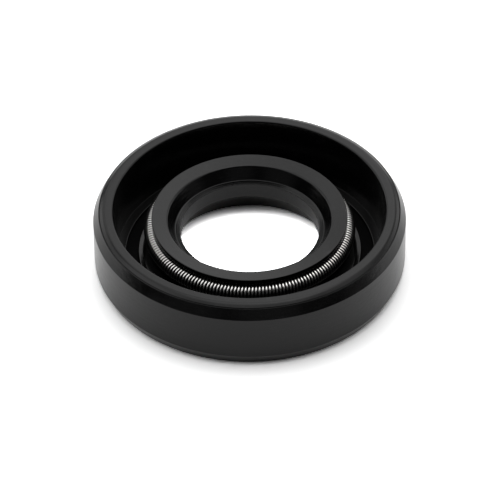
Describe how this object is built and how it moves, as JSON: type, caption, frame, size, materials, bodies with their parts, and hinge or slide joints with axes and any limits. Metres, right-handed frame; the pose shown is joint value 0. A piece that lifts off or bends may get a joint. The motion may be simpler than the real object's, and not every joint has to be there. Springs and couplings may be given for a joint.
{
  "type": "radial shaft seal",
  "caption": "Rubber-covered rotary shaft seal: ring with a stepped outer wall, spring-loaded sealing lip and open cavity on the spring side.",
  "frame": {"origin": "centre of the flat air-side face, on the axis", "axes": "+Z along the axis from the flat air-side face to the open spring side; X and Y are any two directions across it"},
  "size_m": [0.035, 0.035, 0.008],
  "materials": {
    "rubber": "satin moulded nitrile rubber, black",
    "insert_steel": "dark phosphated sheet steel",
    "spring_steel": "bright drawn spring wire"
  },
  "bodies": {
    "root": {"rubber_body": "rubber", "steel_insert": "insert_steel", "garter_spring": "spring_steel"}
  },
  "joints": []
}
